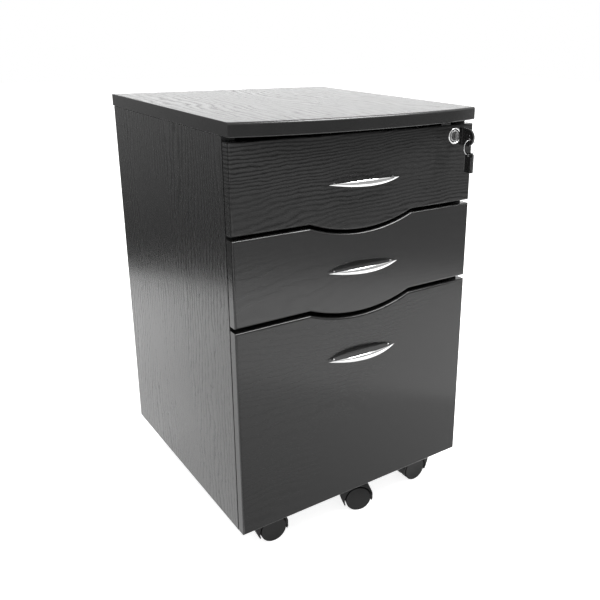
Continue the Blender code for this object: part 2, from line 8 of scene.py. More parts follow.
import bmesh
import bpy
from mathutils import Matrix, Vector
from mathutils.geometry import tessellate_polygon


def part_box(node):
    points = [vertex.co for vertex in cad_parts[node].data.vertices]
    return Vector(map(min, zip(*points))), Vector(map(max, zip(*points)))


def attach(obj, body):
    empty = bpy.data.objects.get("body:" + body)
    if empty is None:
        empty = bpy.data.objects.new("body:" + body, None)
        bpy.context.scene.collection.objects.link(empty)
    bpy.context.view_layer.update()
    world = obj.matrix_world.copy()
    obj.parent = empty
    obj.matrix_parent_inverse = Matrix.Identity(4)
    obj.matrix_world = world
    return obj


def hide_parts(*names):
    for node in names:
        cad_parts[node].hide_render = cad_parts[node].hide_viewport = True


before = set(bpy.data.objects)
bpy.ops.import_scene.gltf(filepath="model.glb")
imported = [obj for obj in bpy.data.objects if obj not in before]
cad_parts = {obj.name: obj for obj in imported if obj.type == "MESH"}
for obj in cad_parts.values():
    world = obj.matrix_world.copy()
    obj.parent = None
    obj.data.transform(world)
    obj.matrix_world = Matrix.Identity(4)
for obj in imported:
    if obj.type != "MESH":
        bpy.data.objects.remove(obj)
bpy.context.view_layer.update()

# Camera at the photograph's viewing angle
CAMERA_PLACE = Vector((-0.5608, -0.9528, 0.7230))
CAMERA_YAW = math.radians(36.53)
CAMERA_PITCH = math.radians(17.86)
CAMERA_ROLL = math.radians(1.06)
CAMERA_LENS = 43.38
CAMERA_SHIFT = (-0.1131, -0.0636)

# Studio: a GLOW pair is a sheet's glow at its first and at its second pair of corners, and LEFT_FLAG holds
# the two ends of the line on the floor that the left flag stands over
FLOOR_REACH = 9.0
FLOOR_TONE = 0.80
FLOOR_GLOW = (0.83, 0.83)
WORLD_LEVEL = 1.0
CARD_TONE = 0.02
MAT_TONE = 0.20
MAT_LIFT = 0.001
LEFT_FLAG = ((-2.22, -1.45), (-0.20, 1.637))
LEFT_FLAG_SPLIT = 0.35
LEFT_FLAG_TALL = 1.30
LEFT_FLAG_FOOT_GLOW = (0.02, 0.22)
LEFT_FLAG_GLOW = (0.22, 0.80)
FRONT_FLAG_GLOW = (0.60, 0.26)
SHADE_MAT_GLOW = (0.45, 1.20)
BACK_WALL_GLOW = (0.26, 0.26)
SOFTBOX_POWER = 45.0

SMOOTH_ANGLE = math.radians(40)
WHEEL_SMOOTH_ANGLE = math.radians(50)

# Ash grain: how many lines each noise moves a line by, the mean lightness, and the foil's roughness
DRIFT_REACH = 3.2
SWAY_REACH = 2.3
TREMBLE_REACH = 0.62
WOOD_MEAN = 0.72
WOOD_ROUGH = 0.17

# Boards: the top's front edge bows out past its corners, and the fronts meet along a wave
BOARD_ARRIS = 0.0008
TOP_BOW = 0.0225
TOP_BOW_POWER = 2.3
TOP_BOW_STEPS = 96
TOP_UPPER_ROUND = 0.0035
TOP_LOWER_ROUND = 0.0015
TOP_ARRIS = 0.0006
WAVE_HALF = 0.084
WAVE_RADIUS = 0.223
WAVE_POINTS = 64
KINK_RADIUS = 0.010
FRONT_ROUND = 0.003
FRONT_BACK_ARRIS = 0.0006

# Handles
HANDLE_HALF = 0.058
HANDLE_REACH = 0.0155
HANDLE_TIP_REACH = 0.0030
HANDLE_HALF_TALL = 0.0047
HANDLE_CROWN = 0.0025
HANDLE_BELLY = 0.0012
HANDLE_SWELL_POWER = 0.8
HANDLE_GAP = 0.0003  # between the front's face and the feet of the posts
POST_X = 0.048

# Lock and keys: a key is drawn with X forwards from the cabinet's middle and Y up
LOCK_X = 0.1585
LOCK_Z = 0.579
FLANGE_DEEP = 0.0025
BOW_LIFT = 0.0012
BOW_ROOT = 0.1962
BOW_ROUND = 0.2135
BOW_RADIUS = 0.0123
KEY_THICK = 0.0030
ROOT_ENDS = (0.1963, 0.2026)
ROOT_HALF_TALL = 0.0121
ROOT_ARRIS = 0.0004
WEB_INSET = 0.0004
WEB_THICK = 0.0020
WEB_ARRIS = 0.0002
RIM_WIDE = 0.0020
RIM_EASE = 0.0009
BLADE_THICK = 0.0020
BLADE_HALF_TALL = 0.0037
BLADE_ENDS = (0.1670, 0.1990)
SMALL_ARRIS = 0.0003
EYE_RADIUS = 0.0020
EYE_CUT = 0.01
KEY_EYE = (0.2175, -0.0027)
COLLAR_RADIUS = 0.0032
COLLAR_THICK = 0.0026
RING_RADIUS = 0.0110
RING_WIRE = 0.00040
RING_TRAVEL = 0.00066  # sideways, over both turns
RING_START = 1.1
SPARE_HALF = 0.0085
SPARE_EYE_DROP = 0.0038
SPARE_WEB_INSET = 0.0003
SPARE_WEB_THICK = 0.0024
SPARE_RIM_WIDE = 0.0013
SPARE_RIM_EASE = 0.0005
SPARE_COLLAR_RADIUS = 0.0034
SPARE_BLADE_THICK = 0.0027

# Casters: hood outline as (from the wheels' centre towards the trailing side, height, corner radius)
TRAIL = 0.015
WHEEL_RADIUS = 0.020
WHEEL_WIDE = 0.0141
WHEEL_INNER = 0.0035
TREAD_EDGE = 0.0007
INNER_EDGE = 0.0012
BORE_RADIUS = 0.0028
BORE_DEEP = 0.0118
WEB_HALF = 0.0032
CAVITY_RADIUS = 0.0219
CAVITY_REACH = 0.022
SOCKET_RADIUS = 0.0038
SOCKET_FLOOR = 0.0363
HOOD_SOFTENING = 0.0003
HOOD_HALF = 0.018
HOOD_EDGE = 0.0004  # smaller than the radius of every arc below, or the rounded edge folds over itself
HOOD_OUTLINE = [
    (0.0212, 0.0138, 0.0005),
    (0.0232, 0.0165, 0.002),
    (0.0232, 0.0280, 0.012),
    (0.0170, 0.0430, 0.004),
    (0.0100, 0.0460, 0.004),
    (-0.0200, 0.0460, 0.006),
    (-0.0295, 0.0340, 0.004),
    (-0.0285, 0.0270, 0.003),
    (-0.0225, 0.0120, 0.0008),
    (-0.0080, 0.0110, 0.0),
    (0.0080, 0.0110, 0.0),
]
# name: kingpin's x and y, and the angle in degrees from +X that the wheels trail towards
CASTERS = {
    "front_left": (-0.149, -0.140, -4.5),
    "front_right": (0.149, -0.140, 181.4),
    "rear_left": (-0.149, 0.181, 28.0),
    "rear_right": (0.149, 0.181, 154.0),
    "file": (0.0, -0.1497, -19.9),
}


# ---------------------------------------------------------------- mesh helpers


def new_object(name, bm, sharp=SMOOTH_ANGLE):
    """An object in the scene, smooth but for edges sharper than an angle. It uses the mesh up."""
    mesh = bpy.data.meshes.new(name)
    bmesh.ops.recalc_face_normals(bm, faces=bm.faces)
    bm.to_mesh(mesh)
    bm.free()
    mesh.shade_smooth()
    mesh.set_sharp_from_angle(angle=sharp)
    obj = bpy.data.objects.new(name, mesh)
    bpy.context.scene.collection.objects.link(obj)
    return obj


def dress(obj, body, material, replaced=()):
    """Gives a piece its body and material, and hides the CAD nodes it stands for."""
    obj.data.materials.clear()
    obj.data.materials.append(material)
    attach(obj, body)
    if replaced:
        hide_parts(*replaced)
    return obj


def flat_normals(obj):
    """Keeps flat faces flat next to their rounded edges."""
    modifier = obj.modifiers.new("weighted", "WEIGHTED_NORMAL")
    modifier.keep_sharp = True
    modifier.weight = 100


def oblong(left, right, low, high):
    """The corners of an upright oblong, anticlockwise."""
    return [(left, low), (right, low), (right, high), (left, high)]


def rounded(corners, steps=8):
    """Outline points with an arc at each corner given as (x, y, radius)."""
    points = []
    count = len(corners)
    for i, (x, y, radius) in enumerate(corners):
        if radius <= 0:
            points.append((x, y))
            continue
        before = corners[i - 1]
        after = corners[(i + 1) % count]
        angle_in = math.atan2(before[1] - y, before[0] - x)
        angle_out = math.atan2(after[1] - y, after[0] - x)
        inside = (angle_out - angle_in + math.pi) % (2 * math.pi) - math.pi
        half = abs(inside) / 2
        middle = angle_in + inside / 2
        centre_x = x + radius / math.sin(half) * math.cos(middle)
        centre_y = y + radius / math.sin(half) * math.sin(middle)
        sweep = math.copysign(math.pi - 2 * half, -inside)
        start = middle + math.pi - sweep / 2
        for step in range(steps + 1):
            angle = start + sweep * step / steps
            points.append((centre_x + radius * math.cos(angle), centre_y + radius * math.sin(angle)))
    return points


def inset(points, distance):
    """An anticlockwise outline moved inwards by a distance, mitred at its corners."""
    count = len(points)
    moved = []
    for i, (x, y) in enumerate(points):
        ax, ay = points[i - 1]
        bx, by = points[(i + 1) % count]
        first = Vector((x - ax, y - ay)).normalized()
        second = Vector((bx - x, by - y)).normalized()
        normal = Vector((-first.y - second.y, first.x + second.x)).normalized()
        cosine = max(0.2, normal.dot(Vector((-first.y, first.x))))
        moved.append((x + normal.x * distance / cosine, y + normal.y * distance / cosine))
    return moved


def edge_levels(thickness, top_round, bottom_round, steps):
    """(inward, height) pairs from a plate's lower face to its upper one, round both edges."""
    turns = [math.pi / 2 * i / steps for i in range(steps + 1)]
    levels = [(bottom_round * (1 - math.sin(turn)), bottom_round * (1 - math.cos(turn))) for turn in turns]
    for turn in turns:
        levels.append((top_round * (1 - math.cos(turn)), thickness - top_round * (1 - math.sin(turn))))
    return levels


def add_skin(bm, loops):
    """Faces from each closed loop of vertices to the next."""
    count = len(loops[0])
    for low, high in zip(loops, loops[1:]):
        for i in range(count):
            j = (i + 1) % count
            bm.faces.new((low[i], low[j], high[j], high[i]))


def add_flat_caps(bm, loops):
    """Triangles over the first and last loop, whatever their outline."""
    for loop in (loops[0], loops[-1]):
        for triangle in tessellate_polygon([[vert.co for vert in loop]]):
            bm.faces.new([loop[i] for i in triangle])


def plate(outline, thickness, top_round, bottom_round, steps=6):
    """A plate from 0 up to its thickness in local Z, whose outline is rounded over at its two faces."""
    bm = bmesh.new()
    loops = []
    for inward, height in edge_levels(thickness, top_round, bottom_round, steps):
        ring = inset(outline, inward) if inward > 1e-9 else outline
        loops.append([bm.verts.new((x, y, height)) for x, y in ring])
    add_skin(bm, loops)
    add_flat_caps(bm, loops)
    return bm


def rows_mesh(rows):
    """A skin through rows of points; each row closes on itself, and the two end rows are capped."""
    bm = bmesh.new()
    loops = [[bm.verts.new(point) for point in row] for row in rows]
    add_skin(bm, loops)
    for loop in (loops[0], loops[-1]):
        bm.faces.new(loop)
    return bm


def turned(profile, steps=64):
    """A profile of (radius, height) turned about Z; points on the axis become one point."""
    bm = bmesh.new()
    rings = []
    for radius, height in profile:
        if radius < 1e-7:
            rings.append([bm.verts.new((0.0, 0.0, height))])
            continue
        ring = []
        for i in range(steps):
            angle = 2 * math.pi * i / steps
            ring.append(bm.verts.new((radius * math.cos(angle), radius * math.sin(angle), height)))
        rings.append(ring)
    for low, high in zip(rings, rings[1:]):
        for i in range(steps):
            j = (i + 1) % steps
            corners = [low[i % len(low)], low[j % len(low)], high[j % len(high)], high[i % len(high)]]
            unique = list(dict.fromkeys(corners))
            if len(unique) > 2:
                bm.faces.new(unique)
    return bm


def tube(points, radius, sides=16):
    """A round wire through points, its ends capped."""
    rows = []
    side_hint = Vector((0.0, 1.0, 0.0))
    for i, point in enumerate(points):
        before = points[max(i - 1, 0)]
        after = points[min(i + 1, len(points) - 1)]
        along = (after - before).normalized()
        across = (side_hint - along * side_hint.dot(along)).normalized()
        other = along.cross(across)
        row = []
        for k in range(sides):
            angle = 2 * math.pi * k / sides
            row.append(point + radius * (math.cos(angle) * across + math.sin(angle) * other))
        rows.append(row)
    return rows_mesh(rows)


def merged(*meshes):
    """Several meshes as one."""
    bm = bmesh.new()
    for part in meshes:
        mesh = bpy.data.meshes.new("part")
        part.to_mesh(mesh)
        part.free()
        bm.from_mesh(mesh)
        bpy.data.meshes.remove(mesh)
    return bm


def placed(bm, matrix):
    """The mesh itself, moved by a matrix."""
    bmesh.ops.transform(bm, matrix=matrix, verts=bm.verts)
    return bm


def carved(bm, *cutters):
    """The mesh with the cutters' shapes taken out of it."""
    obj = plain_object(bm)
    for cutter in cutters:
        boolean = obj.modifiers.new("cut", "BOOLEAN")
        boolean.operation = "DIFFERENCE"
        boolean.solver = "EXACT"
        boolean.object = plain_object(cutter)
    mesh = bpy.data.meshes.new_from_object(obj.evaluated_get(bpy.context.evaluated_depsgraph_get()))
    for used in [boolean.object for boolean in obj.modifiers] + [obj]:
        bpy.data.objects.remove(used, do_unlink=True)
    result = bmesh.new()
    result.from_mesh(mesh)
    bpy.data.meshes.remove(mesh)
    if not result.faces:
        raise RuntimeError("a cut left nothing of its shape")
    return result


def plain_object(bm):
    """A passing object for a modifier to work on."""
    mesh = bpy.data.meshes.new("shape")
    bmesh.ops.recalc_face_normals(bm, faces=bm.faces)
    bm.to_mesh(mesh)
    bm.free()
    obj = bpy.data.objects.new("shape", mesh)
    bpy.context.scene.collection.objects.link(obj)
    return obj


def rod(radius, start, end, steps=64):
    """A solid cylinder about Z."""
    return turned([(0.0, start), (radius, start), (radius, end), (0.0, end)], steps)


def soften(obj, width, segments=2):
    """Rounds the sharp edges that a cut left, and keeps flat faces flat."""
    bevel = obj.modifiers.new("softened", "BEVEL")
    bevel.width = width
    bevel.segments = segments
    bevel.limit_method = "ANGLE"
    bevel.angle_limit = SMOOTH_ANGLE
    flat_normals(obj)


# local X, Y, Z of a plate to world X, Z, -Y: a plate drawn as seen from the front
STAND_UP = Matrix(((1, 0, 0, 0), (0, 0, -1, 0), (0, 1, 0, 0), (0, 0, 0, 1)))
# local X, Y, Z of a plate to world -Y, Z, -X: a plate drawn as seen from the cabinet's left
SIDEWAYS = Matrix(((0, 0, -1, 0), (-1, 0, 0, 0), (0, 1, 0, 0), (0, 0, 0, 1)))


# ---------------------------------------------------------------- materials


class Nodes:
    """Short calls for a material's nodes."""

    def __init__(self, name):
        self.material = bpy.data.materials.new(name)
        self.material.use_nodes = True
        self.tree = self.material.node_tree
        self.shader = self.tree.nodes["Principled BSDF"]

    def add(self, kind, **settings):
        node = self.tree.nodes.new(kind)
        for key, value in settings.items():
            setattr(node, key, value)
        return node

    def link(self, source, target):
        self.tree.links.new(source, target)

    def math(self, operation, first, second=None):
        node = self.add("ShaderNodeMath", operation=operation)
        for socket, value in zip(node.inputs, (first, second)):
            if value is None:
                continue
            if isinstance(value, (int, float)):
                socket.default_value = value
            else:
                self.link(value, socket)
        return node.outputs[0]

    def noise(self, vector, scale, detail, roughness):
        node = self.add("ShaderNodeTexNoise")
        node.inputs["Scale"].default_value = scale
        node.inputs["Detail"].default_value = detail
        node.inputs["Roughness"].default_value = roughness
        self.link(vector, node.inputs["Vector"])
        return node.outputs[0]

    def ramp(self, value, stops):
        """Grey levels over a value."""
        node = self.add("ShaderNodeValToRGB")
        elements = node.color_ramp.elements
        while len(elements) < len(stops):
            elements.new(0.5)
        for element, (place, level) in zip(elements, stops):
            element.position = place
            element.color = (level, level, level, 1.0)
        self.link(value, node.inputs[0])
        return node.outputs[0]

    def range(self, value, low, high, new_low, new_high):
        node = self.add("ShaderNodeMapRange")
        for i, number in enumerate((low, high, new_low, new_high), 1):
            node.inputs[i].default_value = number
        self.link(value, node.inputs[0])
        return node.outputs[0]

    def mapped(self, vector, scale=(1, 1, 1), location=(0, 0, 0)):
        node = self.add("ShaderNodeMapping")
        node.inputs["Scale"].default_value = scale
        node.inputs["Location"].default_value = location
        self.link(vector, node.inputs["Vector"])
        return node.outputs[0]

    def mix(self, factor, first, second):
        node = self.add("ShaderNodeMix", data_type="RGBA")
        node.inputs[6].default_value = first
        node.inputs[7].default_value = second
        self.link(factor, node.inputs[0])
        return node.outputs[2]

    def bump(self, height, strength, distance):
        node = self.add("ShaderNodeBump")
        node.inputs["Strength"].default_value = strength
        node.inputs["Distance"].default_value = distance
        self.link(height, node.inputs["Height"])
        return node.outputs[0]

    def coordinates(self):
        return self.add("ShaderNodeTexCoord").outputs["Object"]

    def set(self, **values):
        """Plain values on the shader's own sockets, an underscore standing for a space."""
        for key, value in values.items():
            self.shader.inputs[key.replace("_", " ")].default_value = value


def wood(name, grain, offset, spacing, wander=6.0, contrast=1.0, relief=1.0, shine=0.5, tone=0.012):
    """Black ash foil: growth lines that drift and close into islands, with fine pores between them.

    grain is the axis (0, 1, 2) the grain runs along. spacing is the mean distance between lines, and wander
    sets how many of them the drift moves a line by.
    """
    n = Nodes(name)
    split = n.add("ShaderNodeSeparateXYZ")
    n.link(n.mapped(n.coordinates(), location=offset), split.inputs[0])
    axes = list(split.outputs)
    join = n.add("ShaderNodeCombineXYZ")
    order = {0: (0, 2, 1), 1: (1, 0, 2), 2: (2, 1, 0)}[grain]
    for socket, axis in zip(join.inputs, order):
        n.link(axes[axis], socket)
    board = join.outputs[0]
    drift = n.noise(n.mapped(board, scale=(2.4, 8.5, 3.0)), 1.0, 1.0, 0.45)
    sway = n.noise(n.mapped(board, scale=(16.0, 34.0, 12.0)), 1.0, 2.0, 0.5)
    tremble = n.noise(n.mapped(board, scale=(80.0, 170.0, 60.0)), 1.0, 2.0, 0.5)
    rings = n.math("DIVIDE", axes[order[1]], spacing)
    for noise, amount in ((drift, wander * DRIFT_REACH), (sway, SWAY_REACH), (tremble, TREMBLE_REACH)):
        rings = n.math("ADD", rings, n.math("MULTIPLY", n.math("SUBTRACT", noise, 0.5), amount))
    phase = n.math("FRACT", rings)
    line = n.ramp(phase, [(0.0, 0.0), (0.10, 0.35), (0.30, 0.80), (0.62, 1.0), (0.90, 0.55), (1.0, 0.0)])
    pores = n.noise(n.mapped(board, scale=(70.0, 1500.0, 1500.0)), 1.0, 1.0, 0.5)
    pits = n.ramp(pores, [(0.34, 0.0), (0.46, 1.0)])
    patches = n.noise(n.mapped(board, scale=(5.0, 13.0, 5.0)), 1.0, 2.0, 0.5)
    depth = n.range(patches, 0.36, 0.62, 0.25, 1.0)
    figure = n.math("MULTIPLY", n.math("SUBTRACT", line, WOOD_MEAN), depth)
    figure = n.math("ADD", figure, n.math("MULTIPLY", n.math("SUBTRACT", pits, 0.8), 0.18))
    lightness = n.math("ADD", n.math("MULTIPLY", figure, contrast), WOOD_MEAN)
    low, high = tone * 0.1, tone * 1.4
    colour = n.mix(lightness, (low, low, low, 1.0), (high, high, high, 1.0))
    n.link(colour, n.shader.inputs["Base Color"])
    rough = n.range(lightness, 0.0, 1.0, WOOD_ROUGH + 0.16 * contrast, WOOD_ROUGH - 0.02)
    n.link(rough, n.shader.inputs["Roughness"])
    n.link(n.bump(figure, 0.5 * relief, 0.00012), n.shader.inputs["Normal"])
    n.set(Specular_IOR_Level=shine * (1 - 0.09 * contrast))
    return n.material


def edge_band(name):
    """Smooth black edge banding with a faint orange peel."""
    n = Nodes(name)
    board = n.coordinates()
    peel = n.noise(board, 420.0, 2.0, 0.5)
    cloud = n.noise(board, 14.0, 3.0, 0.55)
    n.link(n.ramp(cloud, [(0.3, 0.006), (0.7, 0.009)]), n.shader.inputs["Base Color"])
    n.link(n.range(cloud, 0.3, 0.7, 0.18, 0.24), n.shader.inputs["Roughness"])
    n.link(n.bump(peel, 0.08, 0.0001), n.shader.inputs["Normal"])
    return n.material


def chrome(name):
    """Polished plate, faintly smeared and scratched."""
    n = Nodes(name)
    coordinates = n.coordinates()
    smear = n.noise(coordinates, 60.0, 4.0, 0.6)
    scratch = n.noise(n.mapped(coordinates, scale=(120.0, 1600.0, 1600.0)), 1.0, 2.0, 0.6)
    n.link(n.ramp(smear, [(0.3, 0.78), (0.7, 0.86)]), n.shader.inputs["Base Color"])
    n.link(n.range(smear, 0.3, 0.7, 0.07, 0.12), n.shader.inputs["Roughness"])
    n.link(n.bump(scratch, 0.05, 0.00005), n.shader.inputs["Normal"])
    n.set(Metallic=1.0)
    return n.material


def zinc(name, tone=0.50):
    """Brushed plate, cloudy in colour."""
    n = Nodes(name)
    coordinates = n.coordinates()
    cloud = n.noise(coordinates, 90.0, 4.0, 0.6)
    brushed = n.noise(n.mapped(coordinates, scale=(1500.0, 60.0, 1500.0)), 1.0, 2.0, 0.6)
    n.link(n.ramp(cloud, [(0.3, tone * 0.84), (0.7, tone * 1.16)]), n.shader.inputs["Base Color"])
    n.link(n.range(brushed, 0.3, 0.7, 0.26, 0.42), n.shader.inputs["Roughness"])
    n.link(n.bump(brushed, 0.15, 0.0001), n.shader.inputs["Normal"])
    n.set(Metallic=1.0)
    return n.material


def powder_coat(name):
    """Black epoxy with an orange peel."""
    n = Nodes(name)
    coordinates = n.coordinates()
    peel = n.noise(coordinates, 700.0, 3.0, 0.55)
    cloud = n.noise(coordinates, 18.0, 3.0, 0.5)
    n.link(n.ramp(cloud, [(0.3, 0.022), (0.7, 0.030)]), n.shader.inputs["Base Color"])
    n.link(n.range(peel, 0.3, 0.7, 0.36, 0.50), n.shader.inputs["Roughness"])
    n.link(n.bump(peel, 0.25, 0.0003), n.shader.inputs["Normal"])
    return n.material


def plastic(name, tone, rough, grain, shine):
    """Moulded nylon with a spark-eroded grain."""
    n = Nodes(name)
    coordinates = n.coordinates()
    spark = n.noise(coordinates, 2600.0, 2.0, 0.6)
    cloud = n.noise(coordinates, 45.0, 4.0, 0.6)
    n.link(n.ramp(cloud, [(0.3, tone * 0.85), (0.7, tone * 1.2)]), n.shader.inputs["Base Color"])
    n.link(n.range(cloud, 0.3, 0.7, rough - 0.04, rough + 0.06), n.shader.inputs["Roughness"])
    n.link(n.bump(spark, grain, 0.00012), n.shader.inputs["Normal"])
    n.set(Specular_IOR_Level=shine)
    return n.material


SIDE_GRAIN = {"spacing": 0.0085, "wander": 2.6, "contrast": 1.15, "relief": 0.6, "tone": 0.016}
UPPER_GRAIN = {
    "spacing": 0.0052,
    "wander": 4.2,
    "contrast": 1.55,
    "relief": 1.1,
    "shine": 0.22,
    "tone": 0.022,
}
MIDDLE_GRAIN = {"spacing": 0.009, "wander": 4.0, "contrast": 0.40, "relief": 0.4, "shine": 0.49}
FILE_GRAIN = {"spacing": 0.011, "wander": 4.0, "contrast": 0.25, "relief": 0.3, "shine": 0.37}
WOOD_SIDE = wood("ash_side", 2, (0.31, 0.07, 0.11), **SIDE_GRAIN)
WOOD_SIDE_RIGHT = wood("ash_side_right", 2, (0.53, 0.16, 0.42), **SIDE_GRAIN)
WOOD_BACK = wood("ash_back", 0, (0.2, 0.5, 0.31), spacing=0.010, wander=5.0)
WOOD_TOP = wood("ash_top", 1, (0.1, 0.2, 0.6), spacing=0.012, wander=3.2, contrast=0.9, relief=0.5)
WOOD_INNER = wood("ash_inner", 1, (0.4, 0.6, 0.1), spacing=0.012)
FRONT_WOODS = {
    "upper": wood("ash_front_upper", 0, (0.61, 0.3, 0.37), **UPPER_GRAIN),
    "middle": wood("ash_front_middle", 0, (0.72, 0.5, 0.13), **MIDDLE_GRAIN),
    "file": wood("ash_front_file", 0, (1.31, 0.7, 0.09), **FILE_GRAIN),
}
BANDING = edge_band("edge_banding")
CHROME = chrome("chrome_plate")
ZINC = zinc("zinc_plate")
COATED = powder_coat("black_epoxy")
NYLON = plastic("caster_nylon", 0.005, 0.40, 0.15, 0.18)
TREAD = plastic("wheel_nylon", 0.006, 0.36, 0.12, 0.16)
RUBBER = plastic("wheel_tread", 0.003, 0.60, 0.20, 0.06)
KEY_PLASTIC = plastic("key_plastic", 0.008, 0.17, 0.08, 0.9)
NICKEL = zinc("satin_nickel", 0.46)
# The plug's nickel is darkened as painted shade of its keyway.
PLUG_SHADE_NICKEL = zinc("plug_nickel_painted_shade", 0.13)
# The groove's near-black tone is painted shade in the groove between the rim and the face.
GROOVE_PAINTED_SHADE = zinc("lock_groove_painted_shade", 0.03)


# ---------------------------------------------------------------- boards


def board_piece(node, material):
    """A board with softened arrises in its CAD node's own box."""
    low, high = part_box(node)
    outline = oblong(low.x, high.x, low.y, high.y)
    board = plate(outline, high.z - low.z, BOARD_ARRIS, BOARD_ARRIS, 3)
    placed(board, Matrix.Translation((0, 0, low.z)))
    obj = dress(new_object(f"{node}_board", board), "cabinet", material, [node])
    flat_normals(obj)


def top_piece():
    """The top, its front edge bowed and rounded, with banding round all four edges."""
    low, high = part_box("top_panel")
    half = high.x
    bow = []
    for i in range(TOP_BOW_STEPS + 1):
        x = -half + 2 * half * i / TOP_BOW_STEPS
        bow.append((x, low.y + TOP_BOW - TOP_BOW * (1 - abs(x / half) ** TOP_BOW_POWER)))
    thickness = high.z - low.z
    bm = bmesh.new()
    loops = []
    for inward, height in edge_levels(thickness, TOP_UPPER_ROUND, TOP_LOWER_ROUND, 10):
        end = max(0.0, TOP_ARRIS - height) + max(0.0, TOP_ARRIS - (thickness - height))
        ring = [(max(-half + end, min(half - end, x)), y + inward) for x, y in bow]
        ring.append((half - end, high.y - end))
        ring.append((-half + end, high.y - end))
        loops.append([bm.verts.new((x, y, low.z + height)) for x, y in ring])
    add_skin(bm, loops)
    add_flat_caps(bm, loops)
    obj = dress(new_object("top_board", bm), "cabinet", WOOD_TOP, ["top_panel"])
    obj.data.materials.append(BANDING)
    for face in obj.data.polygons:
        if abs(face.normal.z) < 0.5:
            face.material_index = 1
    flat_normals(obj)


def wave_edge(level):
    """Outline points along a dip below a level, from left to right, its two kinks eased."""
    rim = math.sqrt(WAVE_RADIUS**2 - WAVE_HALF**2)
    points = []
    for i in range(WAVE_POINTS + 1):
        x = WAVE_HALF * (2 * i / WAVE_POINTS - 1)
        points.append((x, level + rim - math.sqrt(WAVE_RADIUS**2 - x**2), 0.0))
    points[0] = (*points[0][:2], KINK_RADIUS)
    points[-1] = (*points[-1][:2], KINK_RADIUS)
    return points


def front_piece(name, wave_bottom, wave_top):
    """A drawer front with rounded edges and a wave along its bottom, its top or both."""
    node = f"{name}_drawer_front"
    low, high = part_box(node)
    dip = WAVE_RADIUS - math.sqrt(WAVE_RADIUS**2 - WAVE_HALF**2)
    bottom = low.z + (dip if wave_bottom else 0.0)
    corners = [(low.x, bottom, 0.0)]
    if wave_bottom:
        corners += wave_edge(bottom)
    corners += [(high.x, bottom, 0.0), (high.x, high.z, 0.0)]
    if wave_top:
        corners += wave_edge(high.z)[::-1]
    corners.append((low.x, high.z, 0.0))
    bm = plate(rounded(corners, 6), high.y - low.y, FRONT_ROUND, FRONT_BACK_ARRIS, 8)
    placed(bm, Matrix.Translation((0, high.y, 0)) @ STAND_UP)
    piece = new_object(f"{name}_front_board", bm)
    dress(piece, f"{name}_drawer", FRONT_WOODS[name], [node])
    flat_normals(piece)


# ---------------------------------------------------------------- handles


def handle_piece(name):
    """A leaf of polished chrome bowed off the front, crowned outside, and pointed at both ends."""
    low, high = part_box(f"{name}_handle")
    height = (low.z + high.z) / 2
    front_y = high.y + HANDLE_GAP
    rows = []
    steps, sides = 128, 48
    for i in range(1, steps):
        along = -math.cos(math.pi * i / steps)
        taper = 1 - along**2
        reach = HANDLE_TIP_REACH + (HANDLE_REACH - HANDLE_TIP_REACH) * taper
        row = []
        for k in range(sides):
            angle = 2 * math.pi * k / sides
            across = math.cos(angle)
            depth = math.sin(angle)
            thick = HANDLE_CROWN if depth < 0 else HANDLE_BELLY
            swell = abs(depth) ** HANDLE_SWELL_POWER * math.copysign(1.0, depth)
            y = front_y - reach + swell * thick * taper
            row.append((along * HANDLE_HALF, y, height + across * HANDLE_HALF_TALL * taper))
        rows.append(row)
    leaf = rows_mesh(rows)
    spread = HANDLE_TIP_REACH + (HANDLE_REACH - HANDLE_TIP_REACH) * (1 - (POST_X / HANDLE_HALF) ** 2)
    posts = []
    for side in (-1, 1):
        profile = [
            (0.0, 0.0),
            (0.0019, 0.0),
            (0.0019, 0.0005),
            (0.0015, 0.0010),
            (0.0013, spread * 0.6),
            (0.0009, spread),
            (0.0, spread),
        ]
        turn = Matrix.Translation((side * POST_X, front_y - HANDLE_GAP, height)) @ STAND_UP
        posts.append(placed(turned(profile, 24), turn))
    obj = new_object(f"{name}_handle_chrome", merged(leaf, *posts))
    dress(obj, f"{name}_drawer", CHROME, [f"{name}_handle"])


# ---------------------------------------------------------------- lock and keys


def lock_piece():
    """Polished rim with a rounded edge round a duller, dished face with a groove, whose floor is painted
    near black as painted shade.
    """
    low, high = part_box("lock_housing")
    centre = (low + high) / 2
    depth = high.y - low.y - FLANGE_DEEP
    rim = [(0.0094, 0.0004), (0.0095, 0.0018), (0.0099, 0.0023), (0.0105, FLANGE_DEEP)]
    rim += [(0.0111, 0.0023), (0.0115, 0.0018), (0.01172, 0.0010), (0.01175, 0.0), (0.0094, 0.0)]
    face = [(0.0058, 0.0), (0.0058, 0.0013), (0.0061, 0.0017), (0.0073, 0.0019)]
    face += [(0.0078, 0.0016), (0.0080, 0.0010), (0.0080, 0.0), (0.0058, 0.0)]
    body = [(0.0058, -depth), (0.0058, 0.0), (0.0094, 0.0003), (0.0094, 0.0), (0.0090, 0.0)]
    body += [(0.0090, -depth), (0.0058, -depth)]
    front = Matrix.Translation((centre.x, low.y + FLANGE_DEEP, centre.z)) @ STAND_UP
    # The body's near-black front is the groove's floor: painted shade.
    parts = [("lock_rim", rim, CHROME), ("lock_face", face, NICKEL), ("lock_body", body, GROOVE_PAINTED_SHADE)]
    for name, profile, material in parts:
        bm = turned(profile, 96)
        bmesh.ops.remove_doubles(bm, verts=bm.verts, dist=1e-6)
        dress(new_object(name, placed(bm, front)), "upper_drawer", material, ["lock_housing"])


def d_outline(straight, round_x, radius, steps=48):
    """A flat-sided outline whose outer end is half a circle."""
    points = [(straight, radius), (straight, -radius)]
    for i in range(steps + 1):
        angle = -math.pi / 2 + math.pi * i / steps
        points.append((round_x + radius * math.cos(angle), radius * math.sin(angle)))
    return points


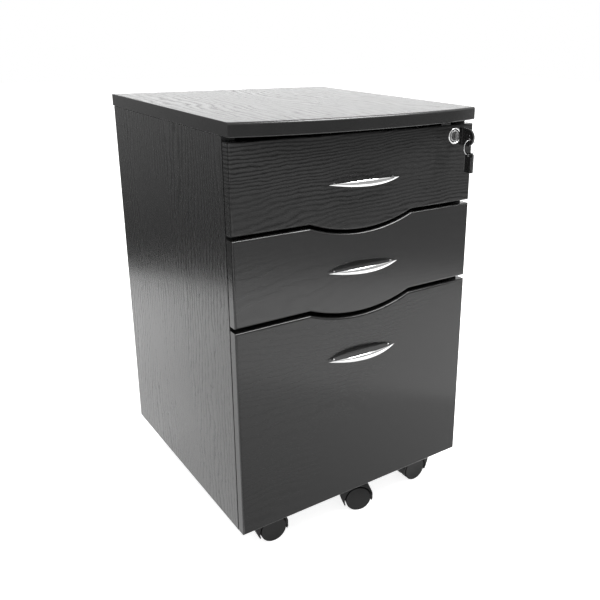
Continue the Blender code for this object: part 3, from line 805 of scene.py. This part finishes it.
def band(outline, width, thickness, ease):
    """A rim of one width inside an outline, with eased edges."""
    section = [
        (0.0, ease),
        (0.0, thickness - ease),
        (ease, thickness),
        (width - ease, thickness),
        (width, thickness - ease),
        (width, ease),
        (width - ease, 0.0),
        (ease, 0.0),
    ]
    bm = bmesh.new()
    loops = []
    for inward, height in section:
        loops.append([bm.verts.new((x, y, height)) for x, y in inset(outline, inward)])
    add_skin(bm, loops + loops[:1])
    return bm


def eye_collar(radius, thickness):
    """A ring round a key's eye."""
    half = thickness / 2
    return turned([(EYE_RADIUS, -half), (radius, -half), (radius, half), (EYE_RADIUS, half)], 32)


def centred(bm, x, y, thickness):
    """A plate's mesh moved to (x, y), with its thickness halved about Z = 0."""
    return placed(bm, Matrix.Translation((x, y, -thickness / 2)))


def key_piece():
    """The turning key: a black bow with a raised rim and a thick root, a steel blade, and two pins."""
    middle = Matrix.Translation((LOCK_X, 0.0, LOCK_Z + BOW_LIFT)) @ SIDEWAYS
    outline = d_outline(BOW_ROOT, BOW_ROUND, BOW_RADIUS)
    at_eye = Matrix.Translation((*KEY_EYE, 0.0))
    web = plate(inset(outline, WEB_INSET), WEB_THICK, WEB_ARRIS, WEB_ARRIS, 2)
    web = centred(web, 0.0, 0.0, WEB_THICK)
    eye = placed(rod(EYE_RADIUS, -EYE_CUT, EYE_CUT), at_eye)
    rim = centred(band(outline, RIM_WIDE, KEY_THICK, RIM_EASE), 0.0, 0.0, KEY_THICK)
    root_outline = oblong(*ROOT_ENDS, -ROOT_HALF_TALL, ROOT_HALF_TALL)
    root = centred(plate(root_outline, KEY_THICK, ROOT_ARRIS, ROOT_ARRIS, 3), 0.0, 0.0, KEY_THICK)
    collar = placed(eye_collar(COLLAR_RADIUS, COLLAR_THICK), at_eye)
    bow = placed(merged(carved(web, eye), rim, root, collar), middle)
    obj = new_object("key_bow", bow)
    dress(obj, "lock_cylinder", KEY_PLASTIC, ["key"])
    flat_normals(obj)
    blade_outline = oblong(*BLADE_ENDS, -BLADE_HALF_TALL, BLADE_HALF_TALL)
    blade = plate(blade_outline, BLADE_THICK, SMALL_ARRIS, SMALL_ARRIS, 2)
    blade = placed(centred(blade, 0.0, -BOW_LIFT, BLADE_THICK), middle)
    blade_obj = dress(new_object("key_blade", blade), "lock_cylinder", ZINC, ["key"])
    flat_normals(blade_obj)
    pins = []
    for x, y in ((0.2168, 0.0039 - BOW_LIFT), (0.2181, -0.0010 - BOW_LIFT)):
        pin = turned([(0.0007, -0.0014), (0.0007, 0.0011), (0.0005, 0.0014), (0.0, 0.00148)], 16)
        pins.append(placed(pin, middle @ Matrix.Translation((x, y, 0.0))))
    dress(new_object("key_pins", merged(*pins)), "lock_cylinder", CHROME, ["key"])


def ring_piece():
    """Two turns of round wire lying side by side."""
    low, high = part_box("key_ring")
    centre = (low + high) / 2
    points = []
    steps = 300
    for i in range(steps + 1):
        angle = 4 * math.pi * i / steps + RING_START
        shift = (i / steps - 0.5) * RING_TRAVEL
        place = Vector((RING_RADIUS * math.cos(angle), shift, RING_RADIUS * math.sin(angle)))
        points.append(centre + place)
    dress(new_object("split_ring", tube(points, RING_WIRE)), "key_ring", CHROME, ["key_ring"])


def spare_piece():
    """A spare key folded into its black case: a rimmed case, its steel blade's edge and an eye."""
    low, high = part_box("spare_key")
    half = SPARE_HALF
    top = (high.z - low.z) / 2
    corners = [(-half, -top, 0.002), (half, -top, 0.002), (half, top, 0.004), (-half, top, 0.004)]
    outline = rounded(corners, 8)
    middle = Matrix.Translation((low + high) / 2) @ SIDEWAYS
    at_eye = Matrix.Translation((0.0, top - SPARE_EYE_DROP, 0.0))
    web = plate(inset(outline, SPARE_WEB_INSET), SPARE_WEB_THICK, SMALL_ARRIS, SMALL_ARRIS, 2)
    web = centred(web, 0.0, 0.0, SPARE_WEB_THICK)
    rim = centred(band(outline, SPARE_RIM_WIDE, KEY_THICK, SPARE_RIM_EASE), 0.0, 0.0, KEY_THICK)
    eye = placed(rod(EYE_RADIUS, -EYE_CUT, EYE_CUT), at_eye)
    collar = placed(eye_collar(SPARE_COLLAR_RADIUS, KEY_THICK), at_eye)
    obj = new_object("spare_case", placed(merged(carved(web, eye), rim, collar), middle))
    dress(obj, "spare_key", KEY_PLASTIC, ["spare_key"])
    flat_normals(obj)
    left, right = half - 0.0045, half - 0.002
    foot, head = -top + 0.002, top - 0.006
    edge = plate(oblong(left, right, foot, head), SPARE_BLADE_THICK, SMALL_ARRIS, SMALL_ARRIS, 2)
    strip = placed(centred(edge, 0.0, 0.0, SPARE_BLADE_THICK), middle)
    blade = dress(new_object("spare_blade", strip), "spare_key", ZINC, ["spare_key"])
    flat_normals(blade)


# ---------------------------------------------------------------- casters


def hood_shape():
    """Twin-wheel hood, kingpin on the Z axis, wheels trailing towards +X."""
    corners = [(TRAIL + from_wheels, z, radius) for from_wheels, z, radius in HOOD_OUTLINE]
    body = plate(rounded(corners, 10), 2 * HOOD_HALF, HOOD_EDGE, HOOD_EDGE, 4)
    placed(body, Matrix.Translation((0.0, HOOD_HALF, 0.0)) @ STAND_UP)
    at_axle = Matrix.Translation((TRAIL, 0.0, WHEEL_RADIUS)) @ Matrix.Rotation(-math.pi / 2, 4, "X")
    cuts = [
        placed(rod(CAVITY_RADIUS, -CAVITY_REACH, -WEB_HALF, 128), at_axle),
        placed(rod(CAVITY_RADIUS, WEB_HALF, CAVITY_REACH, 128), at_axle),
        rod(SOCKET_RADIUS, SOCKET_FLOOR, 0.06, 48),
    ]
    return carved(body, *cuts)


def quarter(radius, height, round_radius, steps, upper):
    """Profile points round a turned shape's outer edge, down from its upper face or to its lower one."""
    points = []
    for i in range(steps + 1):
        turn = math.pi / 2 * i / steps
        dip = round_radius * (1 - math.cos(turn))
        rise = round_radius * (1 - math.sin(turn))
        points.append((radius - rise, height - dip) if upper else (radius - dip, height + rise))
    return points


def wheel_shape():
    """A wheel about Z, its outer face up: almost flat, with a tight edge, a softer inner edge and a bore."""
    profile = [(0.0, WHEEL_WIDE - 0.0005), (0.0100, WHEEL_WIDE - 0.0004), (0.0192, WHEEL_WIDE)]
    profile += quarter(WHEEL_RADIUS, WHEEL_WIDE, TREAD_EDGE, 5, True)
    profile += quarter(WHEEL_RADIUS, 0.0, INNER_EDGE, 6, False)
    profile += [(BORE_RADIUS, 0.0), (BORE_RADIUS, BORE_DEEP), (0.0, BORE_DEEP)]
    return turned(profile, 96)


def caster_pieces():
    """A hood and two wheels for each caster, standing where its kingpin and heading put them."""
    hood = plain_mesh("hood", hood_shape())
    wheel = plain_mesh("wheel", wheel_shape())
    for name, (x, y, angle) in CASTERS.items():
        stem = Matrix.Translation((x, y, 0.0)) @ Matrix.Rotation(math.radians(angle), 4, "Z")
        obj = new_object(f"{name}_hood_moulding", placed(copied(hood), stem))
        dress(obj, f"{name}_caster", NYLON, [f"{name}_caster_hood"])
        soften(obj, HOOD_SOFTENING)
        for letter, side in (("a", 1), ("b", -1)):
            node = f"{name}_caster_wheel_{letter}"
            out = Matrix.Translation((TRAIL, side * WHEEL_INNER, WHEEL_RADIUS))
            turn = stem @ out @ Matrix.Rotation(-side * math.pi / 2, 4, "X")
            disc = placed(copied(wheel), turn)
            disc = new_object(f"{name}_wheel_disc_{letter}", disc, WHEEL_SMOOTH_ANGLE)
            dress(disc, node, TREAD, [node])
            disc.data.materials.append(RUBBER)
            axle = turn.to_3x3() @ Vector((0.0, 0.0, 1.0))
            for face in disc.data.polygons:
                face.material_index = 0 if face.normal.dot(axle) > 0.9 else 1


def plain_mesh(name, bm):
    """Mesh data kept as it is. It uses the mesh up."""
    mesh = bpy.data.meshes.new(name)
    bm.to_mesh(mesh)
    bm.free()
    return mesh


def copied(mesh):
    """A fresh copy to place and keep."""
    bm = bmesh.new()
    bm.from_mesh(mesh)
    return bm


# ---------------------------------------------------------------- assembly of pieces

for node, material in (
    ("side_left", WOOD_SIDE),
    ("side_right", WOOD_SIDE_RIGHT),
    ("back_panel", WOOD_BACK),
):
    board_piece(node, material)
top_piece()
front_piece("upper", True, False)
front_piece("middle", True, True)
front_piece("file", False, True)
for drawer in ("upper", "middle", "file"):
    handle_piece(drawer)
lock_piece()
key_piece()
ring_piece()
spare_piece()
caster_pieces()

CAD_LOOKS = {
    "bottom_panel": WOOD_INNER,
    "strike_plate": ZINC,
    "lock_cam": ZINC,
    "file_caster_block": NYLON,
    # painted shade: the plug is darkened for the shade in its keyway
    "lock_plug": PLUG_SHADE_NICKEL,
}
for node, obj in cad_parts.items():
    if obj.hide_render:
        continue
    if node in CAD_LOOKS:
        material = CAD_LOOKS[node]
    elif node.startswith("file_rail") or node.endswith("caster_plate"):
        material = ZINC
    else:
        material = COATED
    for material_slot in obj.material_slots:
        material_slot.material = material


# ---------------------------------------------------------------- stage


def stage_plane(name, corners, tone, glow, shown=False):
    """A plain matt sheet of the studio. Its glow runs from the first pair of corners to the second.

    A sheet that is not shown lights and shades the object, but stays out of every picture: from behind, the
    left flag would stand between the camera and the cabinet.
    """
    bm = bmesh.new()
    face = bm.faces.new([bm.verts.new(corner) for corner in corners])
    across = bm.loops.layers.uv.new("UVMap")
    for loop, place in zip(face.loops, ((0, 0), (1, 0), (1, 1), (0, 1))):
        loop[across].uv = place
    obj = bpy.data.objects.new(name, plain_mesh(name, bm))
    bpy.context.scene.collection.objects.link(obj)
    n = Nodes(name)
    n.set(Roughness=0.9, Specular_IOR_Level=0.0)
    n.set(Base_Color=(tone, tone, tone, 1.0), Emission_Color=(1.0, 1.0, 1.0, 1.0))
    if glow[0] == glow[1]:
        n.set(Emission_Strength=glow[0])
    else:
        split = n.add("ShaderNodeSeparateXYZ")
        n.link(n.add("ShaderNodeTexCoord").outputs["UV"], split.inputs[0])
        n.link(n.range(split.outputs[1], 0.0, 1.0, *glow), n.shader.inputs["Emission Strength"])
    obj.data.materials.append(n.material)
    obj.visible_camera = shown


def standing(name, foot, low, high, tone, glow):
    """An upright sheet over the line between two points of the floor."""
    start, end = foot
    corners = [(*start, low), (*end, low), (*end, high), (*start, high)]
    stage_plane(name, corners, tone, glow)


def add_softbox(name, place, target, width, height, power):
    data = bpy.data.lights.new(name, "AREA")
    data.shape = "RECTANGLE"
    data.size = width
    data.size_y = height
    data.energy = power
    light = bpy.data.objects.new(name, data)
    light.location = place
    light.rotation_euler = (Vector(target) - Vector(place)).to_track_quat("-Z", "Y").to_euler()
    bpy.context.scene.collection.objects.link(light)


def add_stage():
    """Pale floor, white surroundings, one softbox, and cards that shape the reflections."""
    reach = FLOOR_REACH
    floor = [(-reach, -reach, 0), (reach, -reach, 0), (reach, reach, 0), (-reach, reach, 0)]
    stage_plane("floor", floor, FLOOR_TONE, FLOOR_GLOW, shown=True)
    # painted shade: a hidden sheet, darker at its left side nearest the cabinet's front-left, stands for the
    # floor's shade in the lower fronts' reflections
    mat = [(-0.90, -0.86), (-0.25, -0.21), (0.55, -0.21), (-0.10, -0.86)]
    stage_plane("shade_mat", [(x, y, MAT_LIFT) for x, y in mat], MAT_TONE, SHADE_MAT_GLOW)
    standing("left_flag_foot", LEFT_FLAG, 0.0, LEFT_FLAG_SPLIT, CARD_TONE, LEFT_FLAG_FOOT_GLOW)
    standing("left_flag", LEFT_FLAG, LEFT_FLAG_SPLIT, LEFT_FLAG_TALL, CARD_TONE, LEFT_FLAG_GLOW)
    standing("front_flag", ((-0.50, -1.70), (1.90, -0.50)), 0.0, 0.85, CARD_TONE, FRONT_FLAG_GLOW)
    standing("back_wall", ((-0.40, 3.60), (4.60, 0.60)), 0.0, 2.20, FLOOR_TONE, BACK_WALL_GLOW)
    add_softbox("softbox", (0.75, -0.75, 2.0), (0.0, -0.2, 0.4), 1.1, 0.8, SOFTBOX_POWER)
    world = bpy.data.worlds.new("studio")
    world.use_nodes = True
    background = world.node_tree.nodes["Background"]
    background.inputs["Color"].default_value = (1.0, 1.0, 1.0, 1.0)
    background.inputs["Strength"].default_value = WORLD_LEVEL
    bpy.context.scene.world = world


def add_camera():
    """Camera from its place, compass angle, tilt and roll."""
    data = bpy.data.cameras.new("camera")
    data.lens = CAMERA_LENS
    data.sensor_width = 36.0
    data.shift_x, data.shift_y = CAMERA_SHIFT
    data.clip_start = 0.01
    data.clip_end = 100.0
    camera = bpy.data.objects.new("camera", data)
    flat = math.cos(CAMERA_PITCH)
    drop = -math.sin(CAMERA_PITCH)
    ahead = Vector((math.sin(CAMERA_YAW) * flat, math.cos(CAMERA_YAW) * flat, drop))
    level = Vector((math.cos(CAMERA_YAW), -math.sin(CAMERA_YAW), 0.0))
    up = level.cross(ahead)
    right = level * math.cos(CAMERA_ROLL) + up * math.sin(CAMERA_ROLL)
    upward = up * math.cos(CAMERA_ROLL) - level * math.sin(CAMERA_ROLL)
    turn = Matrix((right, upward, -ahead)).transposed()
    camera.matrix_world = Matrix.Translation(CAMERA_PLACE) @ turn.to_4x4()
    bpy.context.scene.collection.objects.link(camera)
    bpy.context.scene.camera = camera


add_stage()
add_camera()
bpy.context.scene.view_settings.view_transform = "Standard"
